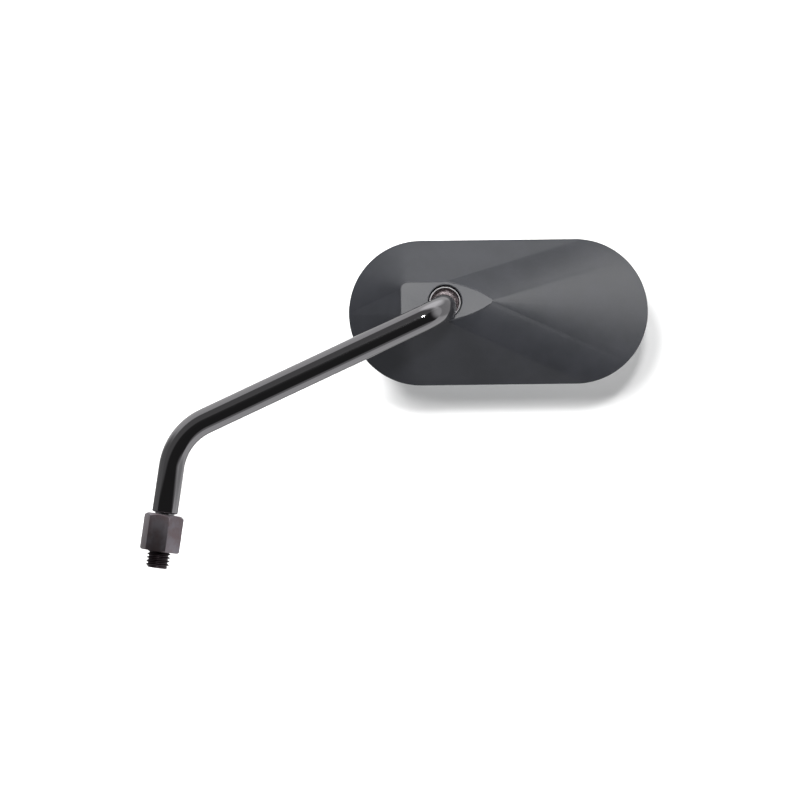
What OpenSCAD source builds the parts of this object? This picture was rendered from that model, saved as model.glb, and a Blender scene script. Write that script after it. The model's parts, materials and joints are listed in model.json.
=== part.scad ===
// Motorcycle rear-view mirror: an oval head on a ball joint, carried by a
// twice-bent stem with a threaded foot and a tall lock nut.
// The foot's thread stands on +Z. The glass looks along +Y and the back of
// the head along -Y. The origin is on the thread axis, at the nut's seat.

/* [Head] */
// Length of the oval head
head_len = 128; // [110:1:150]
// Height of the oval head, which is also the diameter of its round ends
head_h = 62; // [56:1:70]
// Depth of the head, from its front edge to the mouth of the hole
back_depth = 22; // [20:0.5:26]
// Straight side wall of the housing, from its front edge
rim_h = 6; // [6:0.2:8]
// Wall of the housing's back
shell_wall = 2.2; // [1.8:0.1:2.6]
// Lip of the housing around the glass
lip_w = 1.4; // [1:0.1:2]
// Ledge inside the lip, which the glass carrier rests on
ledge_w = 2.2; // [1.6:0.1:3]
// Turn of the head in the plane of its face, away from square to the thread
head_roll = 9; // [-10:1:20]
// Ball centre to the middle of the head, along its length
ball_off_x = 22.9; // [18:0.1:26]
// Ball centre to the middle of the head, across it
ball_off_y = -3.5; // [-6:0.1:0]

/* [Boss] */
// Flat boss on the back: hole centre to the left edge
boss_left = 19.2; // [16:0.1:20]
// Flat boss: hole centre to the tip on the right
boss_right = 20.6; // [18:0.1:24]
// Flat boss: half of its height
boss_half = 8.9; // [7.6:0.1:9.4]
// Radius of the boss's two left corners
boss_corner = 3.4; // [1:0.2:4]
// Softened edge around the boss
boss_edge = 0.6; // [0.4:0.1:1]
// Upward tilt of the boss and of the hole through it
boss_tilt = 11; // [0:1:14]
// Diameter of the hole that the stem comes out of
hole_d = 14.3; // [14:0.1:15]
// Ball centre to the mouth of the hole
hole_depth = 6.5; // [6.2:0.1:7]

/* [Ball joint] */
// Diameter of the ball on the stem
ball_d = 15; // [14.6:0.1:15.2]
// Thickness of the two cups that hold the ball
cup_wall = 0.95; // [0.8:0.05:1]
// Opening of the rear cup, seen in the hole as a bright ring
cup_mouth_d = 12.5; // [12.4:0.1:13.2]
// Upward tilt of the two cups, which find their own place about the ball
cup_tilt = 9; // [0:1:12]
// Half of the gap between the edges of the two cups, which lets them tilt past each other
cup_edge = 1.75; // [1.7:0.05:2.2]
// Running gap between ball, cups and their seats
cup_gap = 0.05; // [0.03:0.01:0.08]
// Gap around the neck where the ball is pressed onto it
neck_fit = 0.02; // [0.01:0.01:0.04]
// Thickness of the clamp plate that presses the cups together
clamp_t = 1.2; // [1:0.1:1.5]
// Clamp screws: half of their spacing along the head
clamp_x = 11; // [10.6:0.1:11.4]
// Clamp screws: half of their spacing across the head
clamp_y = 6.8; // [6.4:0.1:7]
// Thread diameter of the clamp screws
clamp_screw_d = 3; // [2.6:0.1:3]

/* [Glass] */
// Radius of the convex glass
glass_r = 1200; // [900:50:1600]
// Thickness of the glass
glass_t = 2; // [1.6:0.1:2.2]
// Thickness of the adhesive foam behind the glass
foam_t = 0.8; // [0.6:0.1:1]
// Rubber band between the glass and the lip
gasket_w = 0.6; // [0.4:0.1:1]
// How far the middle of the glass stands out of the housing's front edge
glass_proud = 0.4; // [0:0.1:0.8]
// Front edge of the housing to the ledge that the glass carrier rests on
ledge_depth = 5.2; // [5:0.1:5.4]
// Carrier screws: distance in from the ends of the head
carrier_end = 20; // [17:0.5:24]
// Carrier screws: distance in from the long sides of the head
carrier_side = 14; // [12:0.5:15]

/* [Stem] */
// Diameter of the stem
stem_d = 11; // [10.6:0.1:11.4]
// Nut's seat to the corner of the lower bend
low_leg = 49.9; // [46:0.1:70]
// Corner of the lower bend to the corner of the upper bend
main_leg = 124.6; // [110:0.1:150]
// Corner of the upper bend to the ball centre
stub_len = 23.5; // [23.2:0.1:26]
// Angle of the lower bend
low_bend = 56.5; // [40:0.5:70]
// Angle of the upper bend
stub_bend = 85; // [78:0.5:86]
// Turn of the stub about the long leg
stub_roll = 4.2; // [0:0.2:8]
// Centreline radius of the lower bend
low_bend_r = 25; // [20:1:30]
// Centreline radius of the upper bend
stub_bend_r = 11; // [10:0.1:11.3]
// How much the rod thins in its bends, on the radius
bend_thin = 0.05; // [0.04:0.01:0.1]
// Diameter of the neck that carries the ball
neck_d = 7.5; // [7:0.1:7.6]

/* [Foot] */
// Outside diameter of the foot's thread
thread_d = 10; // [8:1:10]
// Pitch of the foot's thread
thread_pitch = 1.5; // [1:0.25:1.5]
// Length of thread below the nut
thread_len = 7.1; // [6:0.1:30]
// Lock nut across its flats
nut_af = 15; // [14.6:0.1:17]
// Height of the lock nut
nut_h = 15.8; // [8:0.1:20]
// Gap between the nut and the stem's shoulder
nut_gap = 0.6; // [0.5:0.1:2]
// Turn of the nut's flats about the thread
nut_turn = 18; // [0:1:59]

/* [Hidden] */
$fn = 96;
eps = 0.01;

// Stem: directions and corners of its centreline
leg_dir = [sin(low_bend), 0, cos(low_bend)];
leg_side = [cos(low_bend), 0, -sin(low_bend)];
stub_dir = cos(stub_bend) * leg_dir
    + sin(stub_bend) * (cos(stub_roll) * [0, 1, 0] - sin(stub_roll) * leg_side);
stub_corner = [0, 0, low_leg] + main_leg * leg_dir;
ball_at = stub_corner + stub_len * stub_dir;
stem_r = stem_d / 2;
low_tangent = low_bend_r * tan(low_bend / 2);
stub_tangent = stub_bend_r * tan(stub_bend / 2);
shoulder_z = nut_h + nut_gap;
stem_chamfer = 0.6;
leg_lap = 0.1;
bend_rod_r = stem_r - bend_thin;

// Foot: a thread is drawn as a plain cylinder, at its pitch diameter inside the nut
thread_r = thread_d / 2;
pitch_r = thread_r - 0.325 * thread_pitch;
relief_r = thread_r - 0.6 * thread_pitch;
relief_len = 2.2;
thread_chamfer = 1.2;
nut_r = nut_af / sqrt(3);
nut_corner = nut_r - nut_af / 2;
nut_foot_chamfer = nut_corner / 2;
nut_round_r = nut_r + 0.1;
nut_clear = 0.05;
nut_lead = 0.4;

// Ball joint: radii outwards from the ball centre
ball_r = ball_d / 2;
neck_r = neck_d / 2;
cup_in = ball_r + cup_gap;
cup_out = cup_in + cup_wall;
seat_r = cup_out + cup_gap;
hole_r = hole_d / 2;
neck_in = 3;
neck_show = 3.2;
ball_crown = 0.9;
neck_top = ball_r + neck_show;
shoulder_len = 2.3;
front_cup_hole_r = 3;
boss_r = seat_r + 2.2;
boss_foot = 1.5;
clamp_gap = 1;
clamp_top = boss_foot + clamp_gap;
clamp_foot = clamp_top + clamp_t;
clamp_boss_r = 2.9;
dome_r = seat_r + clamp_t;

// Screws
clamp_screw_r = clamp_screw_d / 2;
clamp_head_r = 2.7;
clamp_head_h = 1.9;
clamp_shank = 6.5;
washer_t = 0.8;
washer_in = clamp_screw_r + 0.1;
washer_out = clamp_head_r;
washer_slit = 0.6;
screw_clear = 0.05;
hole_play = 0.2;
screw_end_gap = 0.3;
clamp_hole_depth = clamp_shank - washer_t - clamp_foot + boss_foot + screw_end_gap;
drive_w = 2.6;
drive_t = 0.65;
carrier_screw_r = 1.25;
carrier_head_r = 2.3;
carrier_head_h = 0.7;
carrier_head_gap = 0.15;
carrier_screw_len = 3.2;
carrier_boss_r = 2.7;
carrier_x = head_len / 2 - carrier_end;
carrier_y = head_h / 2 - carrier_side;

// Boss flank: a curve from its long edge to its tip, as shares of its length and half height
flank_start = [0.05, 1];
flank_pull = [0.82, 0.58];
flank_end = [1, 0];
flank_steps = 8;
boss_tip_share = 1.6;
sheet_t = 0.02;
rim_soft = 0.5;

// Housing levels, along the axis that points out of its back
mouth_level = hole_depth * cos(boss_tilt);
mouth_up = hole_depth * sin(boss_tilt);
front_level = mouth_level - back_depth;
rim_level = front_level + rim_h;
ledge_level = front_level + ledge_depth;

// Glass levels at the middle of the head
glass_front = front_level - glass_proud;
glass_back = glass_front + glass_t;
foam_back = glass_back + foam_t;
glass_inset = lip_w + gasket_w;
gasket_setback = 0.2;
seat_gap = 0.02;

// The carrier screws' heads lie just clear of the foam, which follows the glass's curve
carrier_head_level = foam_back + sag(norm([carrier_x, carrier_y])) + carrier_head_gap;
carrier_web_level = carrier_head_level + carrier_head_h;

// Where each kind of screw stands
clamp_places = [
    [clamp_x, clamp_y], [-clamp_x, clamp_y], [-clamp_x, -clamp_y], [clamp_x, -clamp_y]
];
carrier_places = [
    [carrier_x, carrier_y], [-carrier_x, carrier_y],
    [-carrier_x, -carrier_y], [carrier_x, -carrier_y]
];

// Puts its children in the frame of the long leg's upper end, with Z along the leg
module leg_end() {
    translate([0, 0, low_leg]) rotate([0, low_bend, 0]) translate([0, 0, main_leg]) children();
}

// Puts its children at the ball centre, with Z along the stub and out of the ball
module stub_frame() {
    leg_end() rotate([0, 0, stub_roll]) rotate([-stub_bend, 0, 0])
        translate([0, 0, stub_len]) rotate([180, 0, 0]) children();
}

// Puts its children at the ball centre, with X along the head, Y up it and Z out of its back
module head_frame() {
    translate(ball_at) rotate([0, -head_roll, 0]) rotate([90, 0, 0]) children();
}

// As head_frame, with Z along the hole through the boss
module hole_frame() {
    head_frame() rotate([-boss_tilt, 0, 0]) children();
}

// As head_frame, with Z along the opening of the rear cup
module cup_frame() {
    head_frame() rotate([-cup_tilt, 0, 0]) children();
}

// As head_frame, moved to the middle of the oval
module face_frame() {
    head_frame() translate([ball_off_x, ball_off_y, 0]) children();
}

// An elbow of round rod: it comes in along Z at the corner and turns towards Y
module elbow(angle, bend_r, rod_r) {
    translate([0, bend_r, -bend_r * tan(angle / 2)]) rotate([90, 0, -90])
        rotate_extrude(angle = angle) translate([bend_r, 0]) circle(r = rod_r);
}

// The oval, inset all round
module oval(inset) {
    r = head_h / 2 - inset;
    x = (head_len - head_h) / 2;
    square([2 * x, 2 * r], center = true);
    for (side = [-1, 1]) translate([side * x, 0]) circle(r = r);
}

module oval_slab(inset, low, high) {
    translate([0, 0, low]) linear_extrude(high - low) oval(inset);
}

// A point of the boss's flank, from 0 at its long edge to 1 at its tip
function flank(t) = (1 - t) * (1 - t) * flank_start + 2 * t * (1 - t) * flank_pull + t * t * flank_end;

// Outline of the flat boss about the hole: square on the left, drawn to a tip on the right
module boss_outline(inset) {
    c = boss_corner;
    l = -boss_left + inset;
    h = boss_half - inset;
    right = boss_right - boss_tip_share * inset;
    polygon(concat(
        [for (a = [0:15:90]) [l + c - c * cos(a), -h + c - c * sin(a)]],
        [for (i = [0:flank_steps]) let (p = flank(i / flank_steps)) [p[0] * right, -p[1] * h]],
        [for (i = [1:flank_steps]) let (p = flank(1 - i / flank_steps)) [p[0] * right, p[1] * h]],
        [for (a = [0:15:90]) [l + c - c * sin(a), h - c + c * cos(a)]]
    ));
}

// A slab of the boss's outline, its top at the given depth under the boss face
module boss_slab(inset, depth) {
    rotate([-boss_tilt, 0, 0]) translate([0, 0, hole_depth - depth - sheet_t])
        linear_extrude(sheet_t) boss_outline(inset);
}

// The housing as a full body, before it is hollowed
module housing_form() {
    hull() {
        translate([ball_off_x, ball_off_y, 0]) {
            oval_slab(rim_soft, front_level, rim_level + 0.4 * rim_soft);
            oval_slab(0, front_level + rim_soft, rim_level - 0.6 * rim_soft);
        }
        boss_slab(0, 0.6 * boss_edge);
        boss_slab(boss_edge, 0);
    }
}

// The space inside the housing, behind the ledge
module housing_cavity() {
    inset = lip_w + ledge_w;
    hull() {
        translate([ball_off_x, ball_off_y, 0]) oval_slab(inset, ledge_level - eps, rim_level - 0.8);
        boss_slab(shell_wall, shell_wall);
    }
}

module head_bosses() {
    rotate([-boss_tilt, 0, 0]) {
        translate([0, 0, -boss_foot]) cylinder(r = boss_r, h = hole_depth + boss_foot);
        for (p = clamp_places) translate([p[0], p[1], -boss_foot])
            cylinder(r = clamp_boss_r, h = hole_depth + boss_foot);
    }
    for (p = carrier_places) translate([ball_off_x + p[0], ball_off_y + p[1], ledge_level])
        cylinder(r = carrier_boss_r, h = mouth_level - ledge_level);
}

module head_holes() {
    rotate([-boss_tilt, 0, 0]) {
        sphere(r = seat_r);
        translate([0, 0, -boss_foot - 1]) cylinder(r = seat_r, h = boss_foot + 1);
        cylinder(r = hole_r, h = hole_depth + 3);
        for (p = clamp_places) translate([p[0], p[1], -boss_foot - eps])
            cylinder(r = clamp_screw_r + screw_clear, h = clamp_hole_depth + eps);
    }
    for (p = carrier_places) translate([ball_off_x + p[0], ball_off_y + p[1], ledge_level - eps])
        cylinder(r = carrier_screw_r + screw_clear, h = carrier_screw_len + screw_end_gap);
    translate([ball_off_x, ball_off_y, 0]) oval_slab(lip_w, front_level - 1, ledge_level);
}

module rear_shell() {
    color([0.16, 0.17, 0.19]) head_frame() difference() {
        union() {
            difference() {
                housing_form();
                housing_cavity();
            }
            intersection() {
                housing_form();
                head_bosses();
            }
        }
        head_holes();
    }
}

module stem() {
    color([0.08, 0.08, 0.09]) union() {
        translate([0, 0, -thread_len]) cylinder(r1 = thread_r - thread_chamfer, r2 = thread_r, h = thread_chamfer);
        translate([0, 0, -thread_len + thread_chamfer]) cylinder(r = thread_r, h = thread_len - thread_chamfer);
        cylinder(r = pitch_r, h = shoulder_z - relief_len);
        translate([0, 0, shoulder_z - relief_len]) cylinder(r = relief_r, h = relief_len);
        translate([0, 0, shoulder_z]) cylinder(r1 = stem_r - stem_chamfer, r2 = stem_r, h = stem_chamfer);
        translate([0, 0, shoulder_z + stem_chamfer])
            cylinder(r = stem_r, h = low_leg - low_tangent - shoulder_z - stem_chamfer + leg_lap);
        translate([0, 0, low_leg]) {
            rotate([0, 0, -90]) elbow(low_bend, low_bend_r, bend_rod_r);
            rotate([0, low_bend, 0]) translate([0, 0, low_tangent - leg_lap])
                cylinder(r = stem_r, h = main_leg - low_tangent - stub_tangent + 2 * leg_lap);
        }
        leg_end() rotate([0, 0, stub_roll]) elbow(stub_bend, stub_bend_r, bend_rod_r);
        stub_frame() {
            translate([0, 0, neck_top + shoulder_len])
                cylinder(r = stem_r, h = stub_len - stub_tangent - neck_top - shoulder_len + leg_lap);
            translate([0, 0, neck_top]) cylinder(r1 = neck_r, r2 = stem_r, h = shoulder_len);
            translate([0, 0, -neck_in]) cylinder(r = neck_r, h = neck_top + neck_in);
        }
    }
}

module lock_nut() {
    color([0.2, 0.18, 0.2]) rotate([0, 0, nut_turn]) difference() {
        intersection() {
            rotate([0, 0, 30]) cylinder(r = nut_r, h = nut_h, $fn = 6);
            union() {
                cylinder(r1 = nut_r - 0.8 * nut_corner, r2 = nut_round_r, h = nut_foot_chamfer);
                translate([0, 0, nut_foot_chamfer]) cylinder(r = nut_round_r, h = nut_h - nut_foot_chamfer - nut_corner);
                translate([0, 0, nut_h - nut_corner]) cylinder(r1 = nut_round_r, r2 = nut_af / 2 - nut_lead, h = nut_corner);
            }
        }
        translate([0, 0, -1]) cylinder(r = pitch_r + nut_clear, h = nut_h + 2);
        translate([0, 0, nut_h - nut_lead]) cylinder(r1 = pitch_r + nut_clear, r2 = pitch_r + nut_clear + nut_lead, h = nut_lead + eps);
    }
}

module ball() {
    color([0.72, 0.72, 0.74]) stub_frame() difference() {
        sphere(r = ball_r);
        translate([0, 0, -neck_in]) cylinder(r = neck_r + neck_fit, h = ball_r + neck_in + 1);
        translate([0, 0, ball_r - ball_crown]) cylinder(r = ball_r, h = 2);
    }
}

module cup_shell() {
    difference() {
        sphere(r = cup_out);
        sphere(r = cup_in);
        children();
    }
}

module rear_cup() {
    color([0.8, 0.8, 0.82]) cup_frame() cup_shell() {
        cylinder(r = cup_mouth_d / 2, h = 2 * cup_out);
        translate([0, 0, -2 * cup_out + cup_edge]) cylinder(r = 2 * cup_out, h = 2 * cup_out);
    }
}

module front_cup() {
    color([0.85, 0.84, 0.78]) cup_frame() cup_shell() {
        translate([0, 0, -2 * cup_out]) cylinder(r = front_cup_hole_r, h = 2 * cup_out);
        translate([0, 0, -cup_edge]) cylinder(r = 2 * cup_out, h = 2 * cup_out);
    }
}

module clamp_plate() {
    color([0.7, 0.7, 0.72]) hole_frame() difference() {
        union() {
            translate([0, 0, -clamp_foot]) linear_extrude(clamp_t) clamp_outline();
            intersection() {
                sphere(r = dome_r);
                translate([0, 0, -clamp_top - 2 * dome_r]) cylinder(r = dome_r, h = 2 * dome_r);
            }
        }
        sphere(r = seat_r);
        for (p = clamp_places) translate([p[0], p[1], -clamp_foot - 1])
            cylinder(r = clamp_screw_r + hole_play, h = clamp_t + 2);
        translate([0, 0, -2 * dome_r]) cylinder(r = front_cup_hole_r, h = 2 * dome_r);
    }
}

module clamp_outline() {
    circle(r = boss_r);
    for (p = clamp_places) translate(p) circle(r = clamp_boss_r + 0.3);
    square([2 * clamp_x, 2 * clamp_y + clamp_boss_r], center = true);
}

module clamp_screw(i) {
    color([0.75, 0.75, 0.77]) hole_frame() translate([clamp_places[i][0], clamp_places[i][1], -clamp_foot - washer_t]) {
        difference() {
            union() {
                cylinder(r = clamp_screw_r, h = clamp_shank);
                translate([0, 0, -clamp_head_h]) cylinder(r1 = clamp_head_r - 0.5, r2 = clamp_head_r, h = 0.5);
                translate([0, 0, 0.5 - clamp_head_h]) cylinder(r = clamp_head_r, h = clamp_head_h - 0.5);
            }
            translate([0, 0, -clamp_head_h]) cross_drive(drive_w, 1.1);
        }
    }
}

// The cross recess of a screw, centred on the face of its head
module cross_drive(w, depth) {
    for (a = [0, 90]) rotate([0, 0, a]) cube([w, drive_t, 2 * depth], center = true);
}

module spring_washer(i) {
    color([0.6, 0.6, 0.63]) hole_frame() translate([clamp_places[i][0], clamp_places[i][1], -clamp_foot - washer_t])
        difference() {
            cylinder(r = washer_out, h = washer_t);
            translate([0, 0, -1]) cylinder(r = washer_in, h = washer_t + 2);
            translate([0, 0, washer_t / 2]) rotate([0, 25, 0]) translate([0, -washer_out, 0])
                cube([washer_slit, 2 * washer_out, 3 * washer_t], center = true);
        }
}

// Everything in front of a convex surface like the glass's, whose middle is at the given level
function sag(x) = glass_r - sqrt(glass_r * glass_r - x * x);
module in_front_of(level) {
    reach = head_len * 0.56;
    steps = 8;
    rotate_extrude() polygon(concat(
        [for (i = [0:steps]) [reach * i / steps, level + sag(reach * i / steps)]],
        [[reach, level - 20], [0, level - 20]]
    ));
}

module convex_sheet(inset, front, back) {
    difference() {
        intersection() {
            oval_slab(inset, front - 1, back + 4);
            in_front_of(back);
        }
        in_front_of(front);
    }
}

module glass_carrier() {
    color([0.2, 0.2, 0.2]) face_frame() difference() {
        oval_slab(glass_inset, foam_back - 1, ledge_level - seat_gap);
        in_front_of(foam_back + seat_gap);
        for (p = carrier_places) translate([p[0], p[1], foam_back - 1]) {
            cylinder(r = carrier_screw_r + hole_play, h = ledge_depth);
            cylinder(r = carrier_head_r + hole_play, h = carrier_web_level - foam_back + 1);
        }
    }
}

module carrier_screw(i) {
    p = carrier_places[i];
    color([0.7, 0.7, 0.72]) face_frame() translate([p[0], p[1], carrier_head_level]) difference() {
        union() {
            cylinder(r = carrier_head_r, h = carrier_head_h);
            cylinder(r = carrier_screw_r, h = ledge_level - carrier_head_level + carrier_screw_len);
        }
        cross_drive(drive_w, 0.4);
    }
}

module foam_pad() {
    color([0.12, 0.12, 0.12]) face_frame() convex_sheet(glass_inset, glass_back + seat_gap, foam_back);
}

module glass() {
    color([0.75, 0.8, 0.83]) face_frame() convex_sheet(glass_inset, glass_front, glass_back);
}

module glass_gasket() {
    color([0.05, 0.05, 0.05]) face_frame() difference() {
        oval_slab(lip_w, front_level + gasket_setback, ledge_level);
        oval_slab(glass_inset, front_level - 1, ledge_level + 1);
    }
}

stem();
lock_nut();
ball();
rear_cup();
front_cup();
rear_shell();
clamp_plate();
for (i = [0:3]) {
    clamp_screw(i);
    spring_washer(i);
    carrier_screw(i);
}
glass_carrier();
foam_pad();
glass();
glass_gasket();
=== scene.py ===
# %% [markdown]
# A motorcycle mirror, seen from the back of its head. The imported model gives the
# frame: every piece below is made in metres, where that model says it is, and
# rides on one of its bodies. The looks are made here, one piece in a cell.

import json
import math

import bmesh
import bpy
from mathutils import Matrix, Vector


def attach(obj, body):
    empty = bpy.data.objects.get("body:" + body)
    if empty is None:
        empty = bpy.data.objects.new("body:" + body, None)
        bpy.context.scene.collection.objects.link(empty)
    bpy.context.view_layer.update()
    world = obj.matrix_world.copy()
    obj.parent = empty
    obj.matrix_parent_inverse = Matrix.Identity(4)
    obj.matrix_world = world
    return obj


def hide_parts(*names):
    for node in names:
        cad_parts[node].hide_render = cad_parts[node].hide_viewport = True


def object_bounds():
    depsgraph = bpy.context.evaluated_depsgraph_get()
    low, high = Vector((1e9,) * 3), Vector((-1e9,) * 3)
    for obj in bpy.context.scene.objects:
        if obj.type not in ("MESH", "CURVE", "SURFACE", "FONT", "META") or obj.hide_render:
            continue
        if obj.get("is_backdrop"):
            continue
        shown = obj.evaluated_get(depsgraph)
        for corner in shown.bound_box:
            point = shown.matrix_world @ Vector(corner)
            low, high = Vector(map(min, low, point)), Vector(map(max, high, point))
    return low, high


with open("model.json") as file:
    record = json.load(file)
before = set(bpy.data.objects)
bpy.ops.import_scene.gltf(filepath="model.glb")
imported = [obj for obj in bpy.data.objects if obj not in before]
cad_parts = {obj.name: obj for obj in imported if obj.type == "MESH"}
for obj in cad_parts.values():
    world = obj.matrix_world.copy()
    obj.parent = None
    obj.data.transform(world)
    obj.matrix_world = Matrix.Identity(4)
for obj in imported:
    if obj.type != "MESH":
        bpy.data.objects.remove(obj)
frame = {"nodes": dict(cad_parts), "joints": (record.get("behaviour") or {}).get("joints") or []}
cad_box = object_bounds()
MM = 0.001
joints = {joint["name"]: joint for joint in frame["joints"]}
nodes = frame["nodes"]
print("box in mm:", [[round(v / MM, 1) for v in corner] for corner in cad_box])

# %% [markdown]
# Two places come from the joints: the ball's centre, which all three turns of the
# head pass through, and the direction in which the stub leaves the ball. The head
# has its own axes there: along the oval, up across it, and out of its back.

# %% Places taken from the joints
ball_at = Vector(joints["head_spin"]["pos_m"])
stub_out = Vector(joints["head_spin"]["axis"]).normalized()
head_along = Vector(joints["head_pitch"]["axis"]).normalized()
head_up = Vector(joints["head_yaw"]["axis"]).normalized()
head_back = head_along.cross(head_up)
print("ball centre in mm:", [round(v / MM, 2) for v in ball_at])


def head_point(x, y, z):
    """A point in mm along, up and out of the head's back, as a place in the frame."""
    return ball_at + (head_along * x + head_up * y + head_back * z) * MM


# %% [markdown]
# Shader maths reads best as a formula. A small class wraps a socket, so that
# `1 - mask * 0.3` adds the Math nodes by itself, and one method makes any other
# node. The same two classes serve the Geometry Nodes trees further down.

# %% Sockets that can be added and multiplied
class Wire:
    """An output socket, with the arithmetic that adds Math nodes to its tree."""

    def __init__(self, sheet, socket):
        self.sheet = sheet
        self.socket = socket

    def __add__(self, other):
        return self.sheet.math("ADD", self, other)

    def __radd__(self, other):
        return self.sheet.math("ADD", other, self)

    def __sub__(self, other):
        return self.sheet.math("SUBTRACT", self, other)

    def __rsub__(self, other):
        return self.sheet.math("SUBTRACT", other, self)

    def __mul__(self, other):
        return self.sheet.math("MULTIPLY", self, other)

    def __rmul__(self, other):
        return self.sheet.math("MULTIPLY", other, self)

    def __truediv__(self, other):
        return self.sheet.math("DIVIDE", self, other)

    def clamped(self):
        return self.sheet.node("ShaderNodeClamp", {}, {"Value": self})

    def between(self, low, high):
        """0 below low, 1 above high and a smooth step between them."""
        settings = {"interpolation_type": "SMOOTHSTEP"}
        inputs = {"Value": self, "From Min": low, "From Max": high}
        return self.sheet.node("ShaderNodeMapRange", settings, inputs)


class Sheet:
    """A node tree, with one method that makes a node and a few that build on it."""

    def __init__(self, tree):
        self.tree = tree

    def node(self, kind, settings, inputs, output=0):
        """A new node: settings first, then the values or links of its sockets."""
        made = self.tree.nodes.new(kind)
        for name, value in settings.items():
            setattr(made, name, value)
        for name, value in inputs.items():
            if isinstance(value, Wire):
                self.tree.links.new(value.socket, made.inputs[name])
            else:
                made.inputs[name].default_value = value
        return Wire(self, made.outputs[output])

    def math(self, operation, *values):
        inputs = dict(enumerate(values))
        return self.node("ShaderNodeMath", {"operation": operation}, inputs)

    def split(self, vector):
        """The x, y and z of a vector."""
        parts = self.node("ShaderNodeSeparateXYZ", {}, {"Vector": vector})
        return [Wire(self, output) for output in parts.socket.node.outputs]

    def noise(self, vector, grains, detail, roughness=0.5):
        """Noise with about so many grains to a metre."""
        inputs = {"Vector": vector, "Scale": grains, "Detail": detail,
                  "Roughness": roughness}
        return self.node("ShaderNodeTexNoise", {}, inputs)

    def blend(self, factor, first, second):
        """Mixes two colours: inputs 6 and 7 and output 2 of a Mix node."""
        def full(colour):
            return colour if isinstance(colour, Wire) else (*colour, 1.0)
        inputs = {0: factor, 6: full(first), 7: full(second)}
        return self.node("ShaderNodeMix", {"data_type": "RGBA"}, inputs, 2)

    def bump(self, height, distance, strength):
        inputs = {"Height": height, "Distance": distance, "Strength": strength}
        return self.node("ShaderNodeBump", {}, inputs)


# %% [markdown]
# Every finish is one Principled shader. Values that are the same all over are set
# on its own sockets. What changes over the surface comes from noise on Object
# coordinates, which are metres here, so a scale of 1000 is a grain of a millimetre.

# %% One function that builds a finish
def finish(name, recipe, **fixed):
    """A material of one Principled shader.

    recipe takes a sheet and its Object coordinates and returns what varies, by
    socket. fixed holds the values that are the same all over.
    """
    material = bpy.data.materials.new(name)
    material.use_nodes = True
    sheet = Sheet(material.node_tree)
    shader = material.node_tree.nodes["Principled BSDF"]
    place = sheet.node("ShaderNodeTexCoord", {}, {}, "Object")
    for socket, value in fixed.items():
        shader.inputs[socket.replace("_", " ")].default_value = value
    for socket, wire in recipe(sheet, place).items():
        sheet.tree.links.new(wire.socket, shader.inputs[socket])
    print("finish:", name, "nodes:", len(sheet.tree.nodes))
    return material


# %% [markdown]
# The housing has a satin black paint. Seen close, sprayed satin has a very fine
# orange peel and its gloss wanders a little, which breaks up reflections softly.
# An even colour with one roughness would do from afar, but looks like bare
# plastic as soon as a lamp is mirrored in it.

# %% Satin black paint of the housing
def satin_recipe(sheet, place):
    peel = sheet.noise(place, 2600.0, 2.0)
    cloud = sheet.noise(place, 60.0, 4.0, 0.6)
    speck = sheet.noise(place, 9000.0, 1.0).between(0.70, 0.78)
    darker, paler = (0.023, 0.025, 0.031), (0.031, 0.033, 0.041)
    colour = sheet.blend(cloud.between(0.3, 0.7), darker, paler)
    return {
        "Base Color": sheet.blend(speck * 0.35, colour, (0.12, 0.12, 0.12)),
        "Roughness": 0.36 + cloud * 0.10 + peel * 0.05,
        "Normal": sheet.bump(peel, 0.00003, 0.5),
    }


satin_black = finish("satin_black_paint", satin_recipe, Specular_IOR_Level=0.7)

# %% [markdown]
# The stem is black chrome: a dark metal that reflects like chrome at a glance and
# like black glass head on. A dark metal under a clear coat gives both. A long, weak
# ripple keeps it from looking machined.

# %% Black chrome of the stem
def black_chrome_recipe(sheet, place):
    ripple = sheet.noise(place, 220.0, 2.0)
    dust = sheet.noise(place, 5200.0, 2.0).between(0.68, 0.76)
    clean, dusty = (0.195, 0.190, 0.200), (0.30, 0.30, 0.30)
    return {
        "Base Color": sheet.blend(dust * 0.25, clean, dusty),
        "Roughness": 0.055 + ripple * 0.03 + dust * 0.05,
        "Normal": sheet.bump(ripple, 0.00006, 0.12),
    }


black_chrome = finish("black_chrome", black_chrome_recipe,
                      Metallic=1.0, Coat_Weight=0.7, Coat_Roughness=0.12)


# %% [markdown]
# The lock nut and the foot's thread are plated black: a metal whose colour is a
# dark purple brown, with faint drawing marks along the flats. A noise that is
# stretched along the foot makes the marks. The thread is given a much darker,
# mottled colour than the nut.

# %% Black plating of the nut and the thread
def plating_recipe(sheet, place):
    along_foot = {"Vector": place, "Scale": (1.0, 1.0, 0.12)}
    stretched = sheet.node("ShaderNodeMapping", {}, along_foot)
    marks = sheet.noise(stretched, 3200.0, 3.0, 0.6)
    patches = sheet.noise(place, 180.0, 3.0, 0.6)
    purple, grey = (0.205, 0.165, 0.176), (0.240, 0.220, 0.245)
    return {
        "Base Color": sheet.blend(patches.between(0.35, 0.65), purple, grey),
        "Roughness": 0.24 + marks * 0.14 + patches * 0.06,
        "Normal": sheet.bump(marks, 0.00002, 0.35),
    }


def thread_recipe(sheet, place):
    mottle = sheet.noise(place, 900.0, 3.0)
    return {
        # the whole thread is much darker than the nut, not only its grooves
        "Base Color": sheet.blend(mottle, (0.035, 0.026, 0.030), (0.10, 0.08, 0.09)),
        "Roughness": 0.26 + sheet.noise(place, 2400.0, 2.0) * 0.16,
    }


black_plate = finish("black_plating", plating_recipe, Metallic=1.0)
thread_plate = finish("thread_plating", thread_recipe, Metallic=1.0)
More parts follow.
